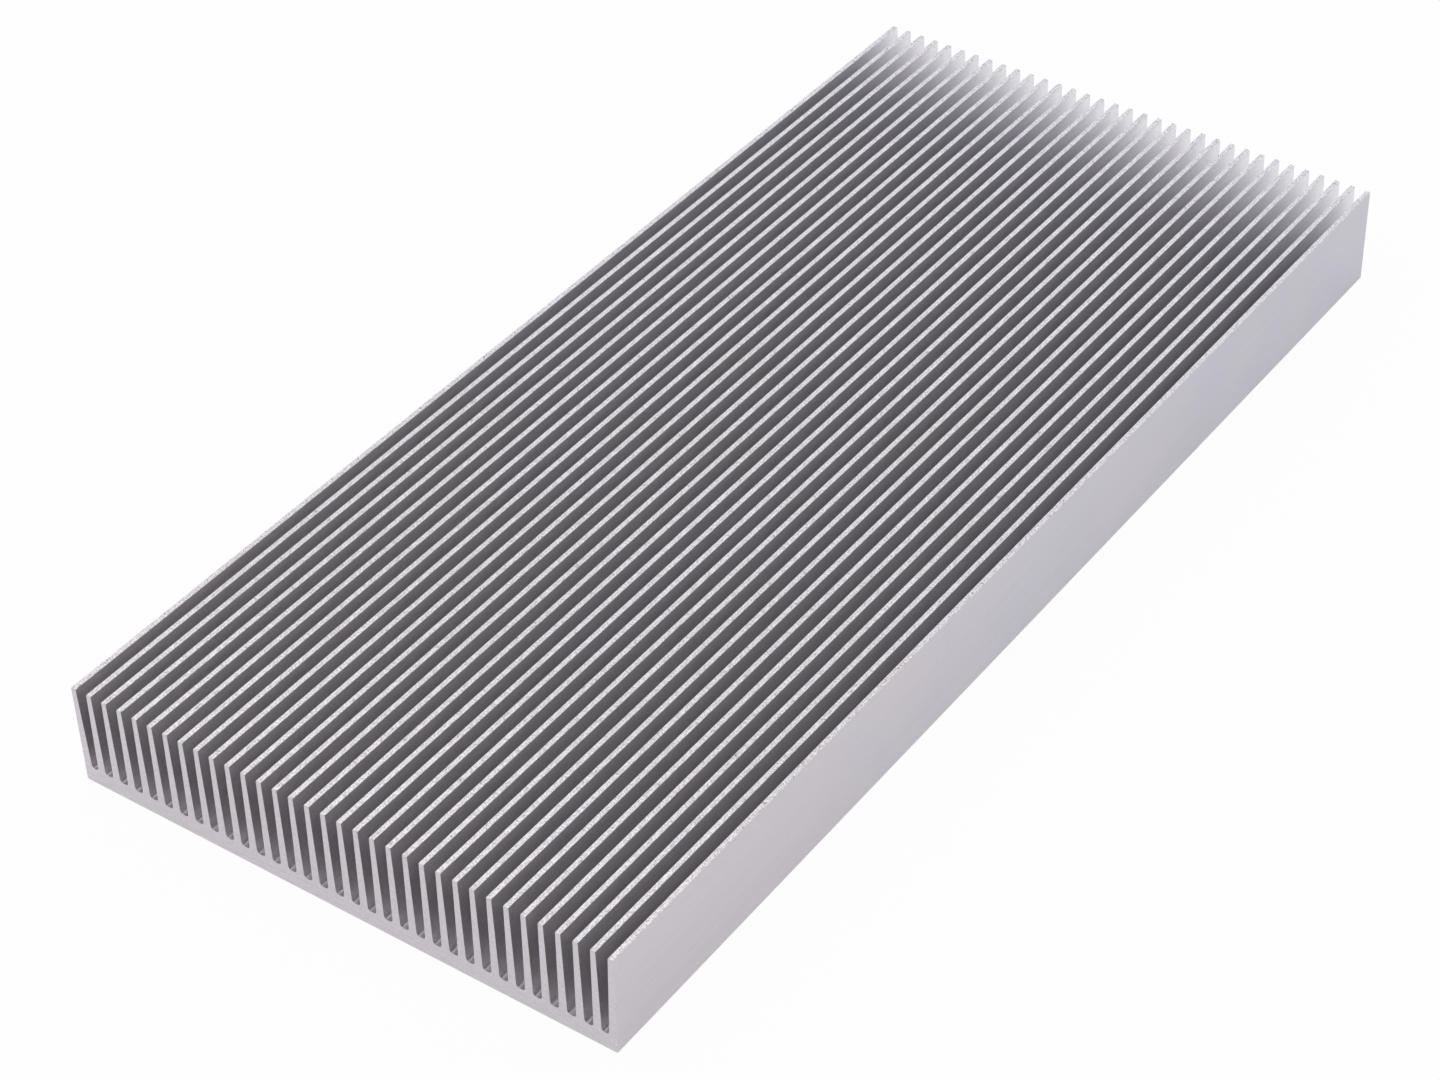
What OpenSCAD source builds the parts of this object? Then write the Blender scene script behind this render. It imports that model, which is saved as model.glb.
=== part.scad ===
// Extruded aluminium heat sink: one bar with a flat base and a row of tapered cooling fins.
//
// The bar is a single section pushed along Y and cut square at both ends.
// Origin: middle of the underside. X runs across the fins, Y along them, Z up to the fin tips.
// All lengths are in millimetres.

/* [Bar] */
// Length the bar is cut to, along the fins
bar_length = 300; // [50:1:600]
// Height from the underside to the fin tips
bar_height = 25; // [12:0.5:40]
// Thickness of the base under the slots
base_thickness = 4; // [2:0.1:8]
// Radius of the two long edges of the underside
base_edge_r = 0.4; // [0.1:0.05:1.5]

/* [Fins] */
// Number of fins across the bar
fin_count = 34; // [3:1:60]
// Distance from the middle of one fin to the middle of the next
fin_pitch = 4.045; // [3.2:0.005:8]
// Thickness of a fin at its tip
fin_tip_thickness = 1.2; // [0.8:0.05:2]
// Thickness of a fin at its root, just above the rounds of the slot floor
fin_root_thickness = 1.9; // [1.35:0.05:2.5]
// Radius of the two corners of a fin's tip
fin_tip_r = 0.15; // [0.05:0.05:0.5]

/* [Slots] */
// Radius of the two bottom corners of the slot between two fins
slot_floor_r = 0.8; // [0.1:0.05:0.8]

/* [Hidden] */
$fn = 48;

last_fin = fin_count - 1;
bar_width = last_fin * fin_pitch + fin_tip_thickness;

// What one side of a fin gains in thickness from its tip to its root.
side_taper = (fin_root_thickness - fin_tip_thickness) / 2;

// The slots beside the end fins are the narrowest at the floor. Two rounds have to fit in
// one, and two on a fin's tip, so each stops short of half the width they share.
narrowest_floor = fin_pitch - fin_tip_thickness - 3 * side_taper;
round_share = 0.49;
floor_r = min(slot_floor_r, round_share * narrowest_floor);
tip_r = min(fin_tip_r, round_share * fin_tip_thickness);

LEFT = -1;
RIGHT = 1;

// Middle of fin i.
function fin_x(i) = (i - last_fin / 2) * fin_pitch;

// An end fin stands upright on the outside and takes its whole taper on the inside.
function is_outside(i, side) = (i == 0 && side == LEFT) || (i == last_fin && side == RIGHT);
function is_end_fin(i) = i == 0 || i == last_fin;
function taper(i, side) = is_outside(i, side) ? 0 : is_end_fin(i) ? 2 * side_taper : side_taper;

// Distance from the middle of fin i out to its side, at the tip and at the root.
tip_reach = fin_tip_thickness / 2;
function root_reach(i, side) = tip_reach + taper(i, side);

// Centres of the quarter arcs: at a fin's tip, at a slot's floor, and under the base.
function tip_centre(i, side) = [fin_x(i) + side * (tip_reach - tip_r), bar_height - tip_r];
function floor_centre(i, side) =
    [fin_x(i) + side * (root_reach(i, side) + floor_r), base_thickness + floor_r];
function base_centre(side) = [side * (bar_width / 2 - base_edge_r), base_edge_r];

// The outline up one side of fin i. Each rounded corner gives the two ends of its arc.
function floor_points(i, side) =
    [floor_centre(i, side) - [0, floor_r], floor_centre(i, side) - [side * floor_r, 0]];
function tip_points(i, side) =
    [tip_centre(i, side) + [side * tip_r, 0], tip_centre(i, side) + [0, tip_r]];
function side_points(i, side) =
    concat(is_outside(i, side) ? [] : floor_points(i, side), tip_points(i, side));

// The outline from the underside round onto the bar's side.
function base_points(side) =
    [base_centre(side) - [0, base_edge_r], base_centre(side) + [side * base_edge_r, 0]];

function backwards(points) = [for (i = [len(points) - 1 : -1 : 0]) points[i]];

// The section, drawn anticlockwise, with a straight cut across every rounded corner.
module cut_cornered_section() {
    fins = [
        for (i = [last_fin : -1 : 0])
            each concat(side_points(i, RIGHT), backwards(side_points(i, LEFT)))
    ];
    polygon(concat(backwards(base_points(LEFT)), base_points(RIGHT), fins));
}

// Discs that fill the outer corners out to their arcs.
module outer_rounds() {
    for (i = [0 : last_fin])
        for (side = [LEFT, RIGHT])
            translate(tip_centre(i, side)) circle(tip_r);
    for (side = [LEFT, RIGHT])
        translate(base_centre(side)) circle(base_edge_r);
}

// Discs that hollow the slots' bottom corners out to their arcs.
module floor_rounds() {
    for (i = [0 : last_fin])
        for (side = [LEFT, RIGHT])
            if (!is_outside(i, side))
                translate(floor_centre(i, side)) circle(floor_r);
}

module section() {
    difference() {
        union() {
            cut_cornered_section();
            outer_rounds();
        }
        floor_rounds();
    }
}

module heat_sink() {
    color([0.78, 0.77, 0.79])
        rotate([90, 0, 0])
            linear_extrude(height = bar_length, center = true) section();
}

heat_sink();
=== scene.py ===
"""Looks, light and camera for the extruded aluminium heat sink."""

import math

import bpy
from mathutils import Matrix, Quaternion, Vector


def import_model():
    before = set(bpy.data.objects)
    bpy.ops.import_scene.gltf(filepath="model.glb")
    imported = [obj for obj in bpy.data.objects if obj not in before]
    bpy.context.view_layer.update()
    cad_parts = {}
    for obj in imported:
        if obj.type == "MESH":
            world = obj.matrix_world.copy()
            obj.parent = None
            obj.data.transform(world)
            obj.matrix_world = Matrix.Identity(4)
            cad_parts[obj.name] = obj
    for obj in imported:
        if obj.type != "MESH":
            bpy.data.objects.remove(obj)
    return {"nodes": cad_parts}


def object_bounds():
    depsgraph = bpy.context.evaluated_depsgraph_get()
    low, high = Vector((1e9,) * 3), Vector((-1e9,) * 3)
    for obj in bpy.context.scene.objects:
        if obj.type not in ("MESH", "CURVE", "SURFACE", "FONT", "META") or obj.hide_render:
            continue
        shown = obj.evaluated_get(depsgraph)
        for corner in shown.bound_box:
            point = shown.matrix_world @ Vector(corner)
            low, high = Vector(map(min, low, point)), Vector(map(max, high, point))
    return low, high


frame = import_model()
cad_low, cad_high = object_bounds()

MM = 0.001

# The sizes the looks depend on, from the frame.
middle = (cad_low + cad_high) / 2
top = cad_high.z
heat_sink = frame["nodes"]["heat_sink"]
tip_edges = sorted({round(v.co.x, 6) for v in heat_sink.data.vertices if v.co.z > top - 0.01 * MM})
tip_flat = tip_edges[1] - tip_edges[0]
fin_pitch = tip_edges[2] - tip_edges[0]

# Camera: above the bar's near end, off to its right.
CAMERA_AZIMUTH = 34.41
CAMERA_ELEVATION = 39.70
CAMERA_ROLL = -0.45
CAMERA_DISTANCE = 0.767
CAMERA_LENS = 89.35
CAMERA_SHIFT_X = -0.067
# From the middle of the bar to the point that the lens axis meets.
CAMERA_AIM_OFFSET = Vector((22.15, -16.9, 0.0)) * MM

# Light
WORLD_COLOUR = (0.97, 0.975, 1.0)
WORLD_LEVEL = 0.75
KEY_AZIMUTH = -60
KEY_ELEVATION = 70
KEY_DISTANCE = 1.2
KEY_SIZE = 1.0
KEY_POWER = 3

# Floor. The rest of its look takes the light, and so the shadow.
FLOOR_COLOUR = (0.9, 0.9, 0.9)
FLOOR_SIZE = 8.0
FLOOR_GAP = 0.05 * MM
FLOOR_WHITE_TO_EYE = 0.95
FLOOR_WHITE_IN_METAL = 0.45

# Bare aluminium, in two tints that drift into each other along the bar
WARM_METAL = (0.690, 0.650, 0.690)
COOL_METAL = (0.640, 0.632, 0.690)
# The tips' tints are painted light: lighter than the sides, most of all towards the far end.
WARM_TIP_PAINTED_LIGHT = (0.700, 0.665, 0.700)
COOL_TIP_PAINTED_LIGHT = (0.735, 0.717, 0.770)
# The slots' tints are painted light: much lighter than the outside, to lift the shade between the fins.
WARM_SLOT_PAINTED_LIGHT = (0.850, 0.832, 0.849)
COOL_SLOT_PAINTED_LIGHT = (0.841, 0.832, 0.860)
METAL_ROUGHNESS = 0.38
# The die's lines spread a reflection across the bar and keep it sharp along it.
SLOT_ROUGHNESS = 0.335
SLOT_ANISOTROPY = 0.72
# The next sizes are in millimetres.
TINT_PATCH = 22.0
TINT_WANDER = 260.0
# Die lines: how wide they are, and how many times longer
DIE_LINE = 0.5
DIE_LINE_STRETCH = 160.0
DIE_LINE_DEPTH = 0.004 * MM
# Saw cut at both ends: radius of the blade's marks, the distance between them, and how bright it is
SAW_RADIUS = 180.0
SAW_MARK = 0.7
SAW_DEPTH = 0.006 * MM
FRESH_CUT = 1.0
# Grain of the cut and drawn metal, and small dark nicks
GRAIN = 0.33
GRAIN_DEPTH = 0.004 * MM
NICK = 0.7
# How far in from the near end the painted highlight along the tips' left edge, with painted shade to its
# right, starts to show, and where it is at its full strength
EDGE_HIGHLIGHT_STARTS = 10.0
EDGE_HIGHLIGHT_FULL = 60.0
# How far the rounded corners of a fin's tip reach down
TIP_ROUND = 0.2 * MM


def direction(azimuth, elevation):
    """Points from the object to the place at this azimuth and elevation, in degrees."""
    a, e = math.radians(azimuth), math.radians(elevation)
    return Vector((math.sin(a) * math.cos(e), -math.cos(a) * math.cos(e), math.sin(e)))


def facing(back, roll=0.0):
    """Turns a camera or lamp to look against `back`."""
    turn = Quaternion((0, 0, 1), math.radians(roll))
    return (-back).to_track_quat("-Z", "Y") @ turn


def put(name, data):
    obj = bpy.data.objects.new(name, data)
    bpy.context.scene.collection.objects.link(obj)
    return obj


class Shader:
    """A short way to write a node tree: each call adds one node and returns its output."""

    def __init__(self, tree):
        self.tree = tree
        tree.nodes.clear()

    def node(self, kind, **settings):
        made = self.tree.nodes.new("ShaderNode" + kind)
        for key, value in settings.items():
            setattr(made, key, value)
        return made

    def plug(self, socket, value):
        if isinstance(value, bpy.types.NodeSocket):
            self.tree.links.new(value, socket)
        elif isinstance(value, tuple) and socket.type == "RGBA":
            socket.default_value = (*value, 1.0)
        else:
            socket.default_value = value

    def set(self, node, **inputs):
        for key, value in inputs.items():
            self.plug(node.inputs[key.replace("_", " ")], value)
        return node

    def math(self, operation, *values):
        made = self.node("Math", operation=operation)
        for socket, value in zip(made.inputs, values):
            self.plug(socket, value)
        return made.outputs[0]

    def vector(self, operation, a, b):
        made = self.node("VectorMath", operation=operation)
        self.plug(made.inputs[0], a)
        self.plug(made.inputs["Scale"] if operation == "SCALE" else made.inputs[1], b)
        return made.outputs["Value" if operation == "LENGTH" else "Vector"]

    def parts(self, vector):
        made = self.node("SeparateXYZ")
        self.plug(made.inputs[0], vector)
        return made.outputs

    def remap(self, value, low, high, to_low=0.0, to_high=1.0):
        made = self.node("MapRange", interpolation_type="SMOOTHSTEP")
        return self.set(
            made,
            Value=value,
            From_Min=low,
            From_Max=high,
            To_Min=to_low,
            To_Max=to_high,
        ).outputs["Result"]

    def colour(self, share, a, b):
        """Colour a turning into colour b as share goes from 0 to 1."""
        made = self.node("Mix", data_type="RGBA")
        for socket, value in ((made.inputs[0], share), (made.inputs[6], a), (made.inputs[7], b)):
            self.plug(socket, value)
        return made.outputs[2]

    def between(self, share, a, b):
        """Number a turning into number b as share goes from 0 to 1."""
        made = self.node("Mix", data_type="FLOAT")
        for socket, value in ((made.inputs[0], share), (made.inputs[2], a), (made.inputs[3], b)):
            self.plug(socket, value)
        return made.outputs[0]

    def noise(self, place, size, detail=2.0, roughness=0.5):
        """Noise from 0 to 1 whose lumps are about `size` across, in the units of `place`."""
        made = self.node("TexNoise")
        self.set(made, Vector=place, Scale=1 / size, Detail=detail, Roughness=roughness)
        return made.outputs[0]

    def mix_shader(self, share, a, b):
        made = self.node("MixShader")
        for socket, value in zip(made.inputs, (share, a.outputs[0], b.outputs[0])):
            self.plug(socket, value)
        return made


def white_share(shader, to_eye, in_metal):
    """How white the background is to the camera, and to metal or glass that shows it."""
    path = shader.node("LightPath").outputs
    seen_in = shader.math("MAXIMUM", path["Is Glossy Ray"], path["Is Transmission Ray"])
    seen_in = shader.math("MULTIPLY", seen_in, in_metal)
    return shader.math("MAXIMUM", shader.math("MULTIPLY", path["Is Camera Ray"], to_eye), seen_in)


def world():
    made = bpy.data.worlds.new("studio")
    made.use_nodes = True
    shader = Shader(made.node_tree)
    light = shader.set(shader.node("Background"), Color=WORLD_COLOUR, Strength=WORLD_LEVEL)
    white = shader.set(shader.node("Background"), Color=(1.0, 1.0, 1.0), Strength=1.0)
    mix = shader.mix_shader(white_share(shader, 1.0, 1.0), light, white)
    shader.set(shader.node("OutputWorld"), Surface=mix.outputs[0])
    bpy.context.scene.world = made


def floor_material():
    made = bpy.data.materials.new("floor")
    made.use_nodes = True
    shader = Shader(made.node_tree)
    lit = shader.set(shader.node("BsdfDiffuse"), Color=FLOOR_COLOUR)
    white = shader.set(shader.node("Emission"), Color=(1.0, 1.0, 1.0), Strength=1.0)
    share = white_share(shader, FLOOR_WHITE_TO_EYE, FLOOR_WHITE_IN_METAL)
    mix = shader.mix_shader(share, lit, white)
    shader.set(shader.node("OutputMaterial"), Surface=mix.outputs[0])
    return made


def floor():
    mesh = bpy.data.meshes.new("floor")
    half = FLOOR_SIZE / 2
    z = cad_low.z - FLOOR_GAP
    corners = [(-half, -half, z), (half, -half, z), (half, half, z), (-half, half, z)]
    mesh.from_pydata(corners, [], [(0, 1, 2, 3)])
    mesh.materials.append(floor_material())
    put("floor", mesh)


def key_light():
    data = bpy.data.lights.new("key", "AREA")
    data.shape = "SQUARE"
    data.size = KEY_SIZE
    data.energy = KEY_POWER
    lamp = put("key", data)
    back = direction(KEY_AZIMUTH, KEY_ELEVATION)
    lamp.location = middle + back * KEY_DISTANCE
    lamp.rotation_mode = "QUATERNION"
    lamp.rotation_quaternion = facing(back)


def camera():
    data = bpy.data.cameras.new("camera")
    data.lens = CAMERA_LENS
    data.shift_x = CAMERA_SHIFT_X
    made = put("camera", data)
    back = direction(CAMERA_AZIMUTH, CAMERA_ELEVATION)
    made.location = middle + CAMERA_AIM_OFFSET + back * CAMERA_DISTANCE
    made.rotation_mode = "QUATERNION"
    made.rotation_quaternion = facing(back, CAMERA_ROLL)
    bpy.context.scene.camera = made


def in_mm(shader):
    """Where a point of the bar is, in millimetres."""
    return shader.vector("SCALE", shader.node("TexCoord").outputs["Object"], 1 / MM)


def metal_tint(shader, place, warm, cool):
    """Warmer at the near end, cooler at the far one, in patches that wander."""
    patches = shader.math("MULTIPLY", shader.noise(place, TINT_PATCH, detail=0.0), TINT_WANDER)
    along = shader.math("ADD", shader.parts(place)[1], patches)
    share = shader.remap(along, cad_low.y / MM + TINT_WANDER / 2, cad_high.y / MM + TINT_WANDER / 2)
    return shader.colour(share, warm, cool)


def die_lines(shader, place):
    """Fine lines that the die leaves along the bar."""
    along = shader.vector("MULTIPLY", place, (1.0, 1 / DIE_LINE_STRETCH, 1.0))
    return shader.noise(along, DIE_LINE, detail=1.0, roughness=0.6)


def saw_marks(shader, place):
    """Wide arcs of a circular blade whose centre is well under the bar."""
    from_blade = shader.vector("ADD", place, (0.0, 0.0, SAW_RADIUS))
    from_blade = shader.vector("MULTIPLY", from_blade, (1.0, 0.0, 1.0))
    arcs = shader.node("TexNoise", noise_dimensions="1D")
    shader.set(arcs, W=shader.vector("LENGTH", from_blade, (0.0, 0.0, 0.0)), Scale=1 / SAW_MARK, Detail=3.0)
    return arcs.outputs[0]


def nicks(shader, place):
    """1 in a few small dark spots, 0 elsewhere."""
    return shader.remap(shader.noise(place, NICK, detail=1.0), 0.66, 0.72)


def aluminium(name, dress):
    """A metal whose colour, gloss and relief are set by `dress`."""
    made = bpy.data.materials.new(name)
    made.use_nodes = True
    shader = Shader(made.node_tree)
    metal = shader.set(shader.node("BsdfPrincipled"), Metallic=1.0)
    dress(shader, in_mm(shader), metal)
    shader.set(shader.node("OutputMaterial"), Surface=metal.outputs[0])
    return made


def relief(shader, metal, height):
    """Bumps whose height is in metres."""
    bump = shader.set(shader.node("Bump"), Height=height, Distance=1.0)
    shader.set(metal, Normal=bump.outputs[0])


def outside(shader, place, metal):
    """The long sides and the underside, as the die left them."""
    lines = die_lines(shader, place)
    shade = shader.math(
        "MULTIPLY",
        shader.remap(lines, 0.3, 0.7, 0.975, 1.02),
        shader.between(nicks(shader, place), 1.0, 0.94),
    )
    colour = shader.vector("SCALE", metal_tint(shader, place, WARM_METAL, COOL_METAL), shade)
    roughness = shader.remap(lines, 0.3, 0.7, METAL_ROUGHNESS - 0.03, METAL_ROUGHNESS + 0.03)
    shader.set(metal, Base_Color=colour, Roughness=roughness)
    relief(shader, metal, shader.math("MULTIPLY", lines, DIE_LINE_DEPTH))


def slots_painted_light(shader, place, metal):
    """The walls and floors between the fins, painted much lighter than the outside: painted light that
    lifts the shade between the fins.
    """
    shade = shader.math(
        "MULTIPLY",
        shader.remap(die_lines(shader, place), 0.3, 0.7, 0.97, 1.03),
        shader.remap(shader.noise(place, GRAIN, detail=0.0), 0.2, 0.8, 0.92, 1.08),
    )
    # Painted light: the slot walls and floors are coloured much lighter than the outside.
    colour = shader.vector("SCALE", metal_tint(shader, place, WARM_SLOT_PAINTED_LIGHT, COOL_SLOT_PAINTED_LIGHT), shade)
    round_the_bar = shader.node("Tangent", direction_type="RADIAL", axis="Y")
    shader.set(
        metal,
        Base_Color=colour,
        Roughness=SLOT_ROUGHNESS,
        Anisotropic=SLOT_ANISOTROPY,
        Tangent=round_the_bar.outputs[0],
    )


def painted_edge_highlight(shader, place):
    """A painted highlight along the left edge of a fin's tip and painted shade towards the right, except
    near the end.
    """
    x, y, z = shader.parts(place)
    across = shader.math("FRACT", shader.math("DIVIDE", x, fin_pitch / MM))
    half = tip_flat / fin_pitch / 2
    # Painted highlight on the left of the tip, painted shade on its right.
    edge = shader.remap(across, 0.5 - half * 0.8, 0.5 + half * 0.55, 1.2, 0.72)
    near_end = cad_low.y / MM
    return shader.between(shader.remap(y, near_end + EDGE_HIGHLIGHT_STARTS, near_end + EDGE_HIGHLIGHT_FULL), 1.0, edge)


def fin_tips_painted_light(shader, place, metal):
    """Speckled and nicked, painted lighter than the sides, with a painted highlight along one edge and
    painted shade towards the other.
    """
    specks = shader.noise(place, GRAIN, detail=1.0)
    shade = shader.math("MULTIPLY", painted_edge_highlight(shader, place), shader.remap(specks, 0.3, 0.7, 0.7, 1.28))
    shade = shader.math("MULTIPLY", shade, shader.between(nicks(shader, place), 1.0, 0.6))
    # Painted light: the tips are coloured lighter than the sides, more so towards the far end.
    colour = shader.vector("SCALE", metal_tint(shader, place, WARM_TIP_PAINTED_LIGHT, COOL_TIP_PAINTED_LIGHT), shade)
    shader.set(metal, Base_Color=colour, Roughness=METAL_ROUGHNESS)
    relief(shader, metal, shader.math("MULTIPLY", specks, GRAIN_DEPTH))


def sawn_ends(shader, place, metal):
    """In the sides' tints, with the blade's marks and a fine grain."""
    marks = saw_marks(shader, place)
    specks = shader.noise(place, GRAIN, detail=1.0)
    shade = shader.math(
        "MULTIPLY",
        shader.remap(specks, 0.3, 0.7, FRESH_CUT - 0.06, FRESH_CUT + 0.06),
        shader.remap(marks, 0.3, 0.7, 0.97, 1.03),
    )
    colour = shader.vector("SCALE", metal_tint(shader, place, WARM_METAL, COOL_METAL), shade)
    shader.set(metal, Base_Color=colour, Roughness=METAL_ROUGHNESS)
    relief(shader, metal, shader.math("MULTIPLY", marks, SAW_DEPTH))


SURFACES = [outside, slots_painted_light, fin_tips_painted_light, sawn_ends]


def surface_of(face):
    """Which of the bar's surfaces a face of the mesh is on."""
    if abs(face.normal.y) > 0.5:
        return sawn_ends
    if face.center.z > top - TIP_ROUND:
        return fin_tips_painted_light
    in_the_base = face.center.z < 1 * MM
    on_a_side = abs(face.center.x) > cad_high.x - 0.1 * MM
    return outside if in_the_base or on_a_side else slots_painted_light


def dress_heat_sink():
    mesh = heat_sink.data
    heat_sink.material_slots[0].material = aluminium("aluminium_outside", outside)
    for surface in SURFACES[1:]:
        mesh.materials.append(aluminium("aluminium_" + surface.__name__, surface))
    for face in mesh.polygons:
        face.material_index = SURFACES.index(surface_of(face))


camera()
world()
floor()
key_light()
dress_heat_sink()

bpy.context.scene.view_settings.view_transform = "Standard"
bpy.context.scene.cycles.glossy_bounces = 12
